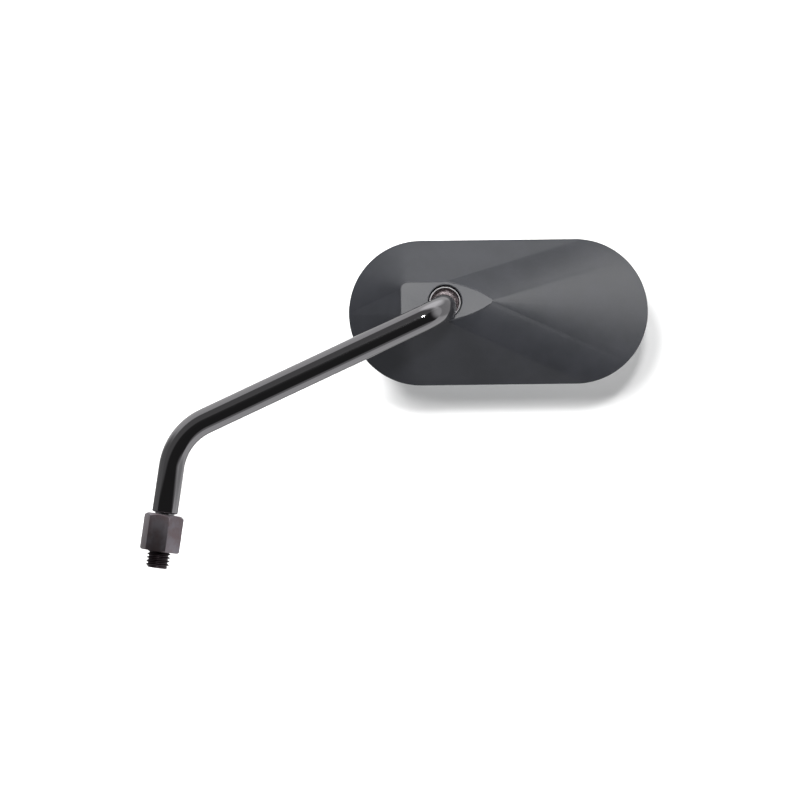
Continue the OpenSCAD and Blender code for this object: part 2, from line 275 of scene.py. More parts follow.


# %% [markdown]
# The ball is turned steel with a grainy zinc coat. It is small, so its grain is a
# few tenths of a millimetre. Its colour follows that grain: painted shade in the
# hollows and painted light on the peaks, which also paint in the dark and pale
# spots that the ball reflects.

# %% Grainy zinc of the ball, with painted shade and light in its grain
def grain_recipe(sheet, place):
    grain = sheet.noise(place, 1500.0, 3.0, 0.7)
    pits = sheet.noise(place, 5200.0, 1.0).between(0.58, 0.70)
    # painted shade in the hollows and painted light on the peaks, standing also for reflected
    # spots
    painted_hollow_shade, painted_peak_light = (0.085, 0.062, 0.068), (0.46, 0.41, 0.42)
    return {
        "Base Color": sheet.blend(grain.between(0.38, 0.62), painted_hollow_shade, painted_peak_light),
        "Roughness": 0.26 + pits * 0.30,
        "Normal": sheet.bump(grain, 0.00014, 0.8),
    }


ball_steel = finish("grainy_zinc", grain_recipe, Metallic=1.0)

# %% [markdown]
# The cup that holds the ball is blackened steel, rubbed bright on the lip of its
# mouth. Its dark colour is also painted shade: it stands for the shadow in the
# narrow gap between the cup and the hole's wall, which the shapes here don't cast.
# The lip could be a piece of its own, but on the real cup it is one piece with the
# rest. So a mask colours it, by the distance from the cup's axis, which leans up a
# little from the head's.

# %% Blackened steel of the cup, its dark also painted shade
LIP_EDGE_R, LIP_FADE = 6.68, 0.1
CUP_TILT = math.radians(9.0)
cup_out = head_back * math.cos(CUP_TILT) + head_up * math.sin(CUP_TILT)


def cup_recipe(sheet, place):
    x, y, z = sheet.split(place)
    dx, dy, dz = x - ball_at.x, y - ball_at.y, z - ball_at.z
    height = dx * cup_out.x + dy * cup_out.y + dz * cup_out.z
    square = dx * dx + dy * dy + dz * dz
    radius = sheet.math("SQRT", square - height * height)
    lip = 1 - radius.between(LIP_EDGE_R * MM, (LIP_EDGE_R + LIP_FADE) * MM)
    grain = sheet.noise(place, 2400.0, 3.0)
    # apart from the lip, this dark colour is partly painted shade for the gap round the cup
    dark = sheet.blend(grain, (0.020, 0.012, 0.015), (0.045, 0.030, 0.034))
    return {
        "Base Color": sheet.blend(lip, dark, (0.95, 0.94, 0.95)),
        "Roughness": 0.42 + lip * 0.10,
        "Metallic": 1 - lip * 0.7,
    }


cup_steel = finish("blackened_cup_with_painted_shade", cup_recipe)

# %% [markdown]
# Behind the glass are a nylon cup, a plated clamp with its screws and washers, a
# moulded carrier and foam. They hardly ever show, but they get their own finishes
# all the same. Two small functions make the recipes, one for steel that was wiped
# and one for what comes out of a mould.

# %% Plain steels
def wiped_recipe(first, second, smears, rough):
    """The recipe of a plain steel with slow smears in its colour and gloss."""
    def recipe(sheet, place):
        smear = sheet.noise(place, smears, 3.0, 0.6)
        return {
            "Base Color": sheet.blend(smear, first, second),
            "Roughness": rough + smear * 0.14,
        }
    return recipe


bright_recipe = wiped_recipe((0.62, 0.62, 0.63), (0.80, 0.80, 0.82), 700.0, 0.16)
dark_recipe = wiped_recipe((0.16, 0.16, 0.17), (0.27, 0.27, 0.28), 900.0, 0.36)
ring_steel = finish("bright_steel", bright_recipe, Metallic=1.0)
spring_steel = finish("washer_steel", dark_recipe, Metallic=1.0)


# %% Plastics, foam and rubber
def moulded_recipe(first, second, grain_size, rough):
    """The recipe of a moulded material: a fine grain over slow changes of colour."""
    def recipe(sheet, place):
        grain = sheet.noise(place, 1.0 / grain_size, 2.0)
        return {
            "Base Color": sheet.blend(sheet.noise(place, 90.0, 3.0), first, second),
            "Roughness": rough + grain * 0.12,
            "Normal": sheet.bump(grain, grain_size * 0.08, 0.5),
        }
    return recipe


def black_recipe(first, second, grain_size, rough):
    """The same between two blacks, each given as one number."""
    return moulded_recipe((first,) * 3, (second,) * 3, grain_size, rough)


nylon = finish("nylon", moulded_recipe((0.66, 0.64, 0.56), (0.76, 0.74, 0.67),
                                       0.0006, 0.40))
carrier_plastic = finish("carrier_plastic", black_recipe(0.018, 0.028, 0.0004, 0.5))
foam = finish("closed_foam", black_recipe(0.015, 0.035, 0.0007, 0.8))
rubber = finish("black_rubber", black_recipe(0.012, 0.022, 0.0003, 0.55))


# %% [markdown]
# Mirror glass is a silvered sheet under clear glass. A metal of almost no
# roughness does it, under a clear coat that gives the glass's own first reflection.
# A slight film of dust dulls it in patches.

# %% Mirror glass
def silvered_recipe(sheet, place):
    film = sheet.noise(place, 45.0, 5.0, 0.65)
    clean, dusty = (0.84, 0.87, 0.89), (0.80, 0.83, 0.85)
    return {
        "Base Color": sheet.blend(film.between(0.35, 0.75), clean, dusty),
        "Roughness": 0.004 + film.between(0.45, 0.8) * 0.03,
    }


silvered = finish("silvered_glass", silvered_recipe,
                  Metallic=1.0, Coat_Weight=0.5, Coat_Roughness=0.0)

# %% [markdown]
# The head is an oval. Its housing is a loft: each ring is a convex outline, and
# rings are joined where their edges face the same way, which is just how a skin
# stretched over the oval and over the small flat boss would run. So one list of
# facing angles serves every ring. Where an outline has a straight edge, that edge
# faces one way all along, and the ring walks along it in a few equal steps.

# %% Sizes of the head, in mm
HEAD_LEN, HEAD_H = 128.0, 62.0
HEAD_AT = (22.9, -3.5)  # middle of the oval, from the ball
BACK_DEPTH, RIM_H, LEDGE_DEPTH = 22.0, 6.0, 5.2
LIP_W, LEDGE_W, WALL = 1.4, 2.2, 2.2
BOSS_LEFT, BOSS_RIGHT, BOSS_HALF = 19.2, 20.6, 8.9  # from the hole's axis
BOSS_CORNER, BOSS_EDGE = 3.4, 0.6
BOSS_TILT = math.radians(11.0)
HOLE_R, HOLE_DEPTH = 7.15, 6.5
SEAT_R, JOINT_R, JOINT_FOOT = 8.55, 10.75, 1.5
END_R = HEAD_H / 2
END_X = (HEAD_LEN - HEAD_H) / 2
MOUTH_LEVEL = HOLE_DEPTH * math.cos(BOSS_TILT)
FRONT_LEVEL = MOUTH_LEVEL - BACK_DEPTH
RIM_LEVEL = FRONT_LEVEL + RIM_H
LEDGE_LEVEL = FRONT_LEVEL + LEDGE_DEPTH
print("levels of the head in mm: front", round(FRONT_LEVEL, 2),
      "rim", round(RIM_LEVEL, 2), "mouth", round(MOUTH_LEVEL, 2))


# %% Outlines by the way their edges face
ANGLE_DIGITS = 6  # angles that agree to so many digits are one


def facing(angle):
    return Vector((math.cos(angle), math.sin(angle)))


def shrunk(corners, inset):
    """A convex outline, walked anticlockwise, with every edge moved in by inset."""
    lines = []
    for here, there in zip(corners, corners[1:] + corners[:1]):
        along = (there - here).normalized()
        inward = Vector((-along.y, along.x))
        lines.append((here + inward * inset, along))
    made = []
    for (p, u), (q, v) in zip(lines[-1:] + lines[:-1], lines):
        t = (q - p).cross(v) / u.cross(v)
        made.append(p + u * t)
    return made


def boss_corners():
    """The boss about the hole: square on the left, drawn to a tip on the right."""
    start, pull, end = Vector((0.05, 1.0)), Vector((0.82, 0.58)), Vector((1.0, 0.0))
    flank = []
    for t in [step / 40 for step in range(41)]:
        flank.append(start * (1 - t) ** 2 + pull * 2 * t * (1 - t) + end * t * t)
    upper = [Vector((p.x * BOSS_RIGHT, p.y * BOSS_HALF)) for p in flank]
    lower = [Vector((p.x, -p.y)) for p in upper[:-1]]
    quarter_turn = [math.radians(90 + 2.5 * step) for step in range(37)]
    centre = Vector((BOSS_CORNER - BOSS_LEFT, BOSS_HALF - BOSS_CORNER))
    left = [centre + facing(angle) * BOSS_CORNER for angle in quarter_turn]
    return lower + upper[::-1] + left + [Vector((p.x, -p.y)) for p in left[::-1]]


BOSS = boss_corners()
OVAL = [Vector((-END_X, 0.0)), Vector((END_X, 0.0))]


def edge_angles(corners):
    """The angles that an outline's edges face."""
    found = set()
    for here, there in zip(corners, corners[1:] + corners[:1]):
        along = there - here
        angle = math.atan2(-along.x, along.y) % (2 * math.pi)
        found.add(round(angle, ANGLE_DIGITS))
    return found


# %% One list of steps for every ring
def ring_steps(turn_step, walks):
    """(angle, share) pairs round a ring, in order.

    Round ends get even turns, apart from those that come near a walked edge. A walk
    is the angles of some straight edges and the shares of their length at which a
    ring has a point.
    """
    count = round(360 / turn_step)
    walked = {angle for angles, _ in walks for angle in angles}
    turns = {round(2 * math.pi * i / count, ANGLE_DIGITS) for i in range(count)}
    near = math.radians(1.7)
    free = {turn for turn in turns if min(abs(turn - edge) for edge in walked) > near}
    steps = {(turn, 0.0) for turn in free}
    for angles, shares in walks:
        steps |= {(angle, share) for angle in angles for share in shares}
    return sorted(steps)


LEFT_EDGE = {round(math.pi, ANGLE_DIGITS)}
CURVED = edge_angles(BOSS) - edge_angles(OVAL) - LEFT_EDGE
STEPS = ring_steps(3.0, [
    (edge_angles(OVAL), [part / 20 for part in range(21)]),
    (LEFT_EDGE, [0.0, 1.0]),
    (CURVED, [0.5]),
])
print("points on a ring:", len(STEPS))


def outline(corners, radius):
    """A ring's points: the corner that faces each angle, pushed out by radius."""
    nudge = 0.0005  # finds the corners just before and just after an angle
    points = []
    for angle, share in STEPS:
        before = max(corners, key=lambda c: c.dot(facing(angle - nudge)))
        after = max(corners, key=lambda c: c.dot(facing(angle + nudge)))
        points.append(before.lerp(after, share) + facing(angle) * radius)
    return points


# %% [markdown]
# A ring is an outline set into the head: level for the oval, and tilted for the
# boss and its hole. Extruding and bevelling could give the same skin by hand. With
# rings, every edge follows from the sizes above instead, and a change of one size
# keeps the skin closed.

# %% Rings of the head
def oval_ring(inset, level, sag=None):
    """A ring of the oval, inset all round. With a sag it lies on a convex surface."""
    ring = []
    for p in outline(OVAL, END_R - inset):
        z = level + (sag(p.length) if sag else 0.0)
        ring.append(head_point(p.x + HEAD_AT[0], p.y + HEAD_AT[1], z))
    return ring


def tilted(x, y, z):
    """A point given along the hole through the boss, turned onto the head's axes."""
    c, s = math.cos(BOSS_TILT), math.sin(BOSS_TILT)
    return head_point(x, y * c + z * s, z * c - y * s)


def boss_ring(inset, depth, soft=0.5):
    """A ring of the boss, with its corners rounded to a radius of soft."""
    shape = outline(shrunk(BOSS, inset + soft), soft)
    return [tilted(p.x, p.y, HOLE_DEPTH - depth) for p in shape]


def round_ring(radius, level):
    """A circle about the hole, of as many points as any ring, but evenly spread."""
    count = len(STEPS)
    angles = [STEPS[0][0] + 2 * math.pi * i / count for i in range(count)]
    return [tilted(*(facing(angle) * radius), level) for angle in angles]


def between_rings(first, last, parts):
    """The rings that lead from one to another in straight lines, without both ends."""
    shares = [part / parts for part in range(1, parts)]
    return [[a.lerp(b, share) for a, b in zip(first, last)] for share in shares]


def quarter(steps):
    """(across, along) of a quarter round, from 0, 0 to 1, 1, without its start."""
    turns = [math.radians(90 * i / steps) for i in range(1, steps + 1)]
    return [(math.sin(a), 1 - math.cos(a)) for a in turns]


# %% [markdown]
# Every made mesh goes the same way: doubled points are merged, faces are turned
# outwards, open edges are counted, and it is shaded smooth except over sharp
# edges. Normals weighted by face size then keep the large facets flat right up to
# their rounded edges. They are baked into the mesh, so that no modifier stays.

# %% From rings to a finished mesh
MERGE_WITHIN = 0.000002


def placed(name, data):
    """A new object in the scene, at the origin."""
    made = bpy.data.objects.new(name, data)
    bpy.context.collection.objects.link(made)
    return made


def tidy_mesh(mesh):
    shape = bmesh.new()
    shape.from_mesh(mesh)
    bmesh.ops.remove_doubles(shape, verts=shape.verts, dist=MERGE_WITHIN)
    bmesh.ops.dissolve_degenerate(shape, edges=shape.edges, dist=MERGE_WITHIN)
    bmesh.ops.recalc_face_normals(shape, faces=shape.faces)
    open_edges = sum(1 for edge in shape.edges if not edge.is_manifold)
    print(mesh.name, "faces:", len(shape.faces), "open edges:", open_edges)
    shape.to_mesh(mesh)
    shape.free()


def shade_by_angle(mesh, degrees):
    mesh.shade_smooth()
    mesh.set_sharp_from_angle(angle=math.radians(degrees))


def evaluated_mesh(piece, name):
    """What a piece's modifiers make of it, as a plain mesh."""
    bpy.context.view_layer.update()
    seen = piece.evaluated_get(bpy.context.evaluated_depsgraph_get())
    mesh = bpy.data.meshes.new_from_object(seen)
    mesh.name = name
    return mesh


def loft(name, rings, material, closed=True, smooth_angle=30.0):
    """A piece that joins rings of equal length.

    A chain that isn't closed on itself starts and ends in rings without width.
    """
    count = len(rings[0])
    faces = []
    for row in range(len(rings) if closed else len(rings) - 1):
        low = row * count
        high = (row + 1) % len(rings) * count
        for i in range(count):
            j = (i + 1) % count
            faces.append((low + i, low + j, high + j, high + i))
    mesh = bpy.data.meshes.new(name)
    mesh.from_pydata([p for ring in rings for p in ring], [], faces)
    made = placed(name, mesh)
    tidy_mesh(mesh)
    shade_by_angle(mesh, smooth_angle)
    mesh.materials.append(material)
    even = made.modifiers.new("even_normals", "WEIGHTED_NORMAL")
    even.keep_sharp = True
    made.data = evaluated_mesh(made, name)
    made.modifiers.clear()
    return made


# %% [markdown]
# The housing runs through one closed chain of rings: from the ledge that carries
# the glass, round the lip and the side wall, up the long slopes to the boss, down
# the hole, round the ball's seat, and back along the inside of the wall.

# %% Housing
LIP_ROUND, RIM_ROUND, EDGE_DROP = 0.5, 0.5, BOSS_EDGE * 0.6
JOINT_TOP = HOLE_DEPTH - WALL - 1.6


def lip_and_rim():
    """From the ledge, round the lip and up the side wall to the foot of the slopes."""
    rings = [oval_ring(LIP_W, LEDGE_LEVEL)]
    rings += [oval_ring(LIP_W, FRONT_LEVEL + 0.2), oval_ring(LIP_W - 0.2, FRONT_LEVEL)]
    for across, along in [(0.0, 0.0)] + quarter(4):
        level = FRONT_LEVEL + LIP_ROUND * along
        rings.append(oval_ring(LIP_ROUND * (1 - across), level))
    for inset, above in [(0.0, -0.3), (0.07, -0.05), (0.25, 0.1), (RIM_ROUND, 0.2)]:
        rings.append(oval_ring(inset, RIM_LEVEL + above))
    return rings


def slopes_and_boss(foot):
    """Up the slopes, over the boss's rounded edge and in towards the hole."""
    top = boss_ring(0.0, EDGE_DROP)
    rings = between_rings(foot, top, 10) + [top]
    for across, along in quarter(4):
        rings.append(boss_ring(BOSS_EDGE * along, EDGE_DROP * (1 - across)))
    return rings + [boss_ring(BOSS_EDGE + 0.3, 0.0, soft=0.2)]


def hole_and_seat():
    """Over the hole's edge, down the hole and round the ball's seat to its foot."""
    seat_at = math.asin(HOLE_R / SEAT_R)
    rings = []
    for wider, deeper in [(0.6, 0.0), (0.25, 0.0), (0.08, 0.08), (0.0, 0.25)]:
        rings.append(round_ring(HOLE_R + wider, HOLE_DEPTH - deeper))
    rings.append(round_ring(HOLE_R, SEAT_R * math.cos(seat_at)))
    for part in range(1, 7):
        turn = seat_at + (math.pi / 2 - seat_at) * part / 6
        rings.append(round_ring(SEAT_R * math.sin(turn), SEAT_R * math.cos(turn)))
    return rings + [round_ring(SEAT_R, -JOINT_FOOT), round_ring(JOINT_R, -JOINT_FOOT)]


def inside_of_wall():
    """Back from the seat, along the inside of the slopes, to the ledge."""
    start = round_ring(JOINT_R, JOINT_TOP)
    end = oval_ring(LIP_W + LEDGE_W, RIM_LEVEL - 0.8)
    near_start = between_rings(end, start, 6)[-1]
    return [start, near_start, end, oval_ring(LIP_W + LEDGE_W, LEDGE_LEVEL)]


chain = lip_and_rim()
chain += slopes_and_boss(chain[-1]) + hole_and_seat() + inside_of_wall()
housing = loft("housing", chain, satin_black, smooth_angle=32.0)
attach(housing, "head")
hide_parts("rear_shell")

# %% [markdown]
# The glass is a sheet cut from a large sphere, so that it shows a wider view. Its
# rings shrink towards the middle, and each point sinks as the sphere does. The
# edge is ground to a small bevel.

# %% Mirror glass and its rubber band
GLASS_R, GLASS_T, GLASS_PROUD, GROUND_EDGE = 1200.0, 2.0, 0.4, 0.35
GASKET_W, GASKET_SETBACK = 0.6, 0.2
GLASS_INSET = LIP_W + GASKET_W
GLASS_FRONT = FRONT_LEVEL - GLASS_PROUD


def glass_sag(distance):
    return GLASS_R - math.sqrt(GLASS_R**2 - distance**2)


def glass_rings():
    """From the middle of the front, over the ground edge, to the middle of the back."""
    reach = END_R - GLASS_INSET
    shares = [i / 14 for i in range(15)]
    front = [END_R - (reach - GROUND_EDGE) * share for share in shares]
    back = [GLASS_INSET] + [END_R - reach * share for share in reversed(shares)]
    rings = [oval_ring(inset, GLASS_FRONT, glass_sag) for inset in front]
    rings.append(oval_ring(GLASS_INSET, GLASS_FRONT + GROUND_EDGE, glass_sag))
    rings += [oval_ring(inset, GLASS_FRONT + GLASS_T, glass_sag) for inset in back]
    return rings


mirror = loft("mirror_glass", glass_rings(), silvered, closed=False)
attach(mirror, "head")
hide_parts("glass")

# %% [markdown]
# A band of rubber fills the gap between the glass and the lip. It is a small loop
# of rings round the same oval, so it can't part from either. Its front is a little
# proud in the middle and falls back at both sides.

# %% Rubber band
band_front = FRONT_LEVEL + GASKET_SETBACK
band_rings = [oval_ring(inset, level) for inset, level in [
    (GLASS_INSET, LEDGE_LEVEL), (GLASS_INSET, band_front + 0.1),
    (GLASS_INSET - 0.15, band_front - 0.05), (LIP_W + 0.15, band_front - 0.05),
    (LIP_W, band_front + 0.1), (LIP_W, LEDGE_LEVEL),
]]
band = loft("rubber_band", band_rings, rubber)
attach(band, "head")
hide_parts("glass_gasket")

# %% [markdown]
# The stem is one bent rod, so it is a circle carried along a path. The path has
# straight legs and true arcs at the bends, and a Geometry Nodes tree sweeps the
# circle along it. The radius at each point of the path shapes the neck and foot.

# %% Path of the stem
STEM_R, NECK_R, LOW_LEG, LOW_BEND_R, STUB_BEND_R = 5.5, 3.75, 49.9, 25.0, 11.0
NUT_H, NUT_GAP = 15.8, 0.6
NECK_IN, NECK_TOP, SHOULDER_LEN = 3.0, 10.7, 2.3
MAIN_LEG, LOW_BEND = 124.6, math.radians(56.5)
leg_along = Vector((math.sin(LOW_BEND), 0.0, math.cos(LOW_BEND)))
low_corner = Vector((0.0, 0.0, LOW_LEG))
high_corner = low_corner + leg_along * MAIN_LEG
ball_mm = ball_at / MM
print("stub length in mm:", round((ball_mm - high_corner).length, 2))


def bend(corner, way_in, way_out, radius, parts):
    """The points of an arc that rounds a corner."""
    turn = way_in.angle(way_out)
    start = corner - way_in * radius * math.tan(turn / 2)
    side = (way_out - way_in * way_in.dot(way_out)).normalized()
    centre = start + side * radius
    angles = [turn * i / parts for i in range(parts + 1)]
    return [centre - side * radius * math.cos(a) + way_in * radius * math.sin(a)
            for a in angles]


def stem_path():
    """(point in mm, radius in mm) along the rod, from the nut to the ball."""
    foot = NUT_H + NUT_GAP
    shoulder = [(-0.9, 4.1), (-0.01, 4.1), (0.0, STEM_R - 0.75), (0.12, STEM_R - 0.35),
                (0.35, STEM_R - 0.1), (0.65, STEM_R)]
    path = [(Vector((0.0, 0.0, foot + z)), r) for z, r in shoulder]
    up = Vector((0.0, 0.0, 1.0))
    path += [(p, STEM_R) for p in bend(low_corner, up, leg_along, LOW_BEND_R, 24)]
    high_bend = bend(high_corner, leg_along, -stub_out, STUB_BEND_R, 28)
    path += [(p, STEM_R) for p in high_bend]
    neck = [(SHOULDER_LEN + 0.35, STEM_R), (SHOULDER_LEN, STEM_R - 0.08),
            (SHOULDER_LEN - 0.3, STEM_R - 0.3), (0.25, NECK_R + 0.22),
            (0.0, NECK_R + 0.04), (-0.2, NECK_R), (-NECK_TOP - NECK_IN, NECK_R)]
    path += [(ball_mm + stub_out * (NECK_TOP + t), r) for t, r in neck]
    return path


def path_curve(name, path):
    data = bpy.data.curves.new(name, "CURVE")
    data.dimensions = "3D"
    spline = data.splines.new("POLY")
    spline.points.add(len(path) - 1)
    for point, (place, radius) in zip(spline.points, path):
        point.co = (*(place * MM), 1.0)
        point.radius = radius * MM
    return placed(name, data)


# %% [markdown]
# A curve's own bevel could make the rod as well. A tree keeps the number of sides
# as an input and reads the radius at each point, so the leg and the thin neck are
# one piece. Every tree here ends in real geometry with its material, and runs on an
# object that is taken away once its result is a plain mesh.

# %% The sweeping tree
def group_with(name, sockets):
    """A Geometry Nodes group with a geometry output and the given named inputs."""
    group = bpy.data.node_groups.new(name, "GeometryNodeTree")
    group.interface.new_socket("Geometry", in_out="OUTPUT",
                               socket_type="NodeSocketGeometry")
    for label, kind in sockets:
        group.interface.new_socket(label, in_out="INPUT", socket_type=kind)
    sheet = Sheet(group)
    source = group.nodes.new("NodeGroupInput")
    inputs = {label: Wire(sheet, source.outputs[label]) for label, _ in sockets}
    return group, sheet, inputs


def hand_out(sheet, geometry, material):
    """The end of every tree: real geometry, with its material, at the output."""
    real = sheet.node("GeometryNodeRealizeInstances", {}, {"Geometry": geometry})
    inputs = {"Geometry": real, "Material": material}
    dressed = sheet.node("GeometryNodeSetMaterial", {}, inputs)
    target = sheet.tree.nodes.new("NodeGroupOutput")
    sheet.tree.links.new(dressed.socket, target.inputs[0])


def sweep_tree():
    group, sheet, given = group_with("swept_rod", [
        ("Path", "NodeSocketGeometry"), ("Sides", "NodeSocketInt"),
        ("Material", "NodeSocketMaterial")])
    circle = sheet.node("GeometryNodeCurvePrimitiveCircle", {}, {
        "Resolution": given["Sides"], "Radius": 1.0})
    radius = sheet.node("GeometryNodeInputRadius", {}, {})
    swept = sheet.node("GeometryNodeCurveToMesh", {}, {
        "Curve": given["Path"], "Profile Curve": circle, "Scale": radius,
        "Fill Caps": True})
    hand_out(sheet, swept, given["Material"])
    return group


def grown(name, source, group, values, smooth_angle=30.0):
    """Runs a tree on an object and returns its result as a plain mesh object."""
    modifier = source.modifiers.new("tree", "NODES")
    modifier.node_group = group
    for item in group.interface.items_tree:
        if item.in_out == "INPUT" and item.name in values:
            modifier[item.identifier] = values[item.name]
    mesh = evaluated_mesh(source, name)
    source.modifiers.remove(modifier)
    made = placed(name, mesh)
    bpy.data.objects.remove(source)
    tidy_mesh(mesh)
    shade_by_angle(mesh, smooth_angle)
    return made


rod_values = {"Sides": 96, "Material": black_chrome}
rod = grown("stem_rod", path_curve("stem_path", stem_path()), sweep_tree(), rod_values)
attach(rod, "stem")

# %% [markdown]
# The foot's thread is a cylinder whose radius rises and falls along a helix: a
# point's height and its angle about the axis together say where it is between two
# crests. The tree moves each point of a plain mesh cylinder out to that radius.

# %% Thread of the foot
THREAD_R, THREAD_PITCH, THREAD_LEN, THREAD_CHAMFER = 5.0, 1.5, 7.1, 1.2
RELIEF_R = 4.1
CREST_FLAT, FLANK = 0.125, 0.625  # shares of the way from a crest to a root
WHOLE_TURNS = 64.0  # added so that the count of turns is never negative


def thread_tree():
    sizes = ["Pitch", "Crest Radius", "Depth", "Length", "Chamfer", "Nut Height",
             "Hidden Radius"]
    sockets = [(label, "NodeSocketFloat") for label in sizes]
    sockets.append(("Material", "NodeSocketMaterial"))
    group, sheet, given = group_with("screw_thread", sockets)
    whole = given["Length"] + given["Nut Height"]
    blank = sheet.node("GeometryNodeMeshCylinder", {}, {
        "Vertices": 96, "Side Segments": 300, "Fill Segments": 1, "Radius": 1.0,
        "Depth": whole})
    x, y, z = sheet.split(sheet.node("GeometryNodeInputPosition", {}, {}))
    height = z + (given["Nut Height"] - given["Length"]) * 0.5
    turn = sheet.math("ARCTAN2", y, x) / (2 * math.pi)
    phase = sheet.math("FRACT", height / given["Pitch"] - turn + WHOLE_TURNS)
    slope = sheet.math("ABSOLUTE", phase * 2.0 - 1.0)
    sunk = ((slope - CREST_FLAT) / FLANK).clamped()
    crest = given["Crest Radius"] - sunk * given["Depth"]
    end_cut = given["Crest Radius"] - given["Chamfer"] + (height + given["Length"])
    outside = sheet.math("MINIMUM", crest, end_cut)
    in_nut = sheet.math("GREATER_THAN", height, 0.0)
    hidden = sheet.math("MINIMUM", outside, given["Hidden Radius"])
    radius = outside + in_nut * (hidden - outside)
    flat = sheet.math("SQRT", x * x + y * y)
    rim = sheet.math("MINIMUM", flat, 1.0)
    scale = radius * rim / sheet.math("MAXIMUM", flat, 0.001)
    moved = sheet.node("ShaderNodeCombineXYZ", {}, {
        "X": x * scale, "Y": y * scale, "Z": height})
    cut = sheet.node("GeometryNodeSetPosition", {}, {
        "Geometry": blank, "Position": moved})
    hand_out(sheet, cut, given["Material"])
    return group


thread_sizes = {
    "Pitch": THREAD_PITCH * MM, "Crest Radius": THREAD_R * MM,
    "Depth": (THREAD_R - RELIEF_R) * MM, "Length": THREAD_LEN * MM,
    "Chamfer": THREAD_CHAMFER * MM, "Nut Height": NUT_H * MM,
    "Hidden Radius": RELIEF_R * MM, "Material": thread_plate,
}
holder = placed("thread_holder", bpy.data.meshes.new("thread_holder"))
thread = grown("foot_thread", holder, thread_tree(), thread_sizes, 40.0)
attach(thread, "stem")
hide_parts("stem")

# %% [markdown]
# The nut, the ball and the ring in the hole already have the right shape in the
# imported model. A copy of each is welded and shaded smooth where it is round; the
# nut and the ring also get small rounded edges that catch the light.

# %% Nut, ball and ring
def softened(node, name, material, edge):
    """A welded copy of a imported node, with its sharp edges rounded to edge in mm."""
    made = nodes[node].copy()
    made.data = nodes[node].data.copy()
    made.name = made.data.name = name
    made.parent = None
    made.data.materials.clear()
    bpy.context.collection.objects.link(made)
    tidy_mesh(made.data)
    if edge:
        round_off = made.modifiers.new("edges", "BEVEL")
        round_off.width = edge * MM
        round_off.segments = 3
        round_off.limit_method = "ANGLE"
        round_off.angle_limit = math.radians(28.0)
        made.data = evaluated_mesh(made, name)
        made.modifiers.clear()
    shade_by_angle(made.data, 30.0)
    made.data.materials.append(material)
    return made


for node, name, body, material, slot, edge in [
    ("lock_nut", "hex_lock_nut", "nut", black_plate, "black_nut", 0.18),
    ("ball", "joint_ball", "stem", ball_steel, "ball_steel", 0.0),
    ("rear_cup", "joint_ring", "rear_cup", cup_steel, "ring_steel", 0.3),
]:
    piece = softened(node, name, material, edge)
    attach(piece, body)
    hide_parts(node)

# %% [markdown]
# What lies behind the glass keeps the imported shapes, and only gets its finish.

# %% Finishes of the inner pieces
inner_finishes = {
    "front_cup": nylon, "clamp_plate": ring_steel, "clamp_screw": ring_steel,
    "spring_washer": spring_steel, "glass_carrier": carrier_plastic,
    "carrier_screw": ring_steel, "foam_pad": foam,
}
for start, material in inner_finishes.items():
    for name, node in nodes.items():
        if name.startswith(start):
            node.data.materials.clear()
            node.data.materials.append(material)
            print(name, "has", material.name)

# %% [markdown]
# The camera looks at the back of the head, a little rolled, through a long lens.
# One pixel of the 800-pixel picture is 0.425 mm on the object.

# %% Camera
PICTURE_WIDTH, DISTANCE, ROLL = 0.340, 3.0, math.radians(8.3)
LOOK_AT = Vector((0.0916, 0.012, 0.0781))
camera_data = bpy.data.cameras.new("camera")
camera_data.sensor_width = 36.0
camera_data.lens = camera_data.sensor_width * DISTANCE / PICTURE_WIDTH
camera_data.clip_end = 20.0
right = Vector((math.cos(ROLL), 0.0, math.sin(ROLL)))
up = Vector((-math.sin(ROLL), 0.0, math.cos(ROLL)))
back = right.cross(up)
turned = Matrix((right, up, back)).transposed().to_4x4()
camera = placed("camera", camera_data)
camera.matrix_world = Matrix.Translation(LOOK_AT + back * DISTANCE) @ turned
bpy.context.scene.camera = camera
print("lens in mm:", round(camera_data.lens, 1))

# %% [markdown]
# The studio has white surroundings behind the mirror and little light on the
# camera's side, so that black gloss shows bright rims and a dark middle. A bright
# window at the head's end of the stem is what the elbow shows, and two weak bands
# run along the stem above and below it. Gloss sees the white part dimmer towards
# both ends of the stem. Straight behind, where only the glass looks, it is dimmer
# too, and darkest below a soft horizon.

# %% Surroundings
FRONT_GLOW, BACK_GLOW, WINDOW_GLOW, TOP_GLOW = 0.045, 0.95, 0.9, 0.9
UPPER_BAND, LOWER_BAND = 0.18, 0.35
FOOT_SHADE, HEAD_SHADE, FAR_SHADE, GROUND_SHADE = 0.75, 0.40, 0.20, 0.35


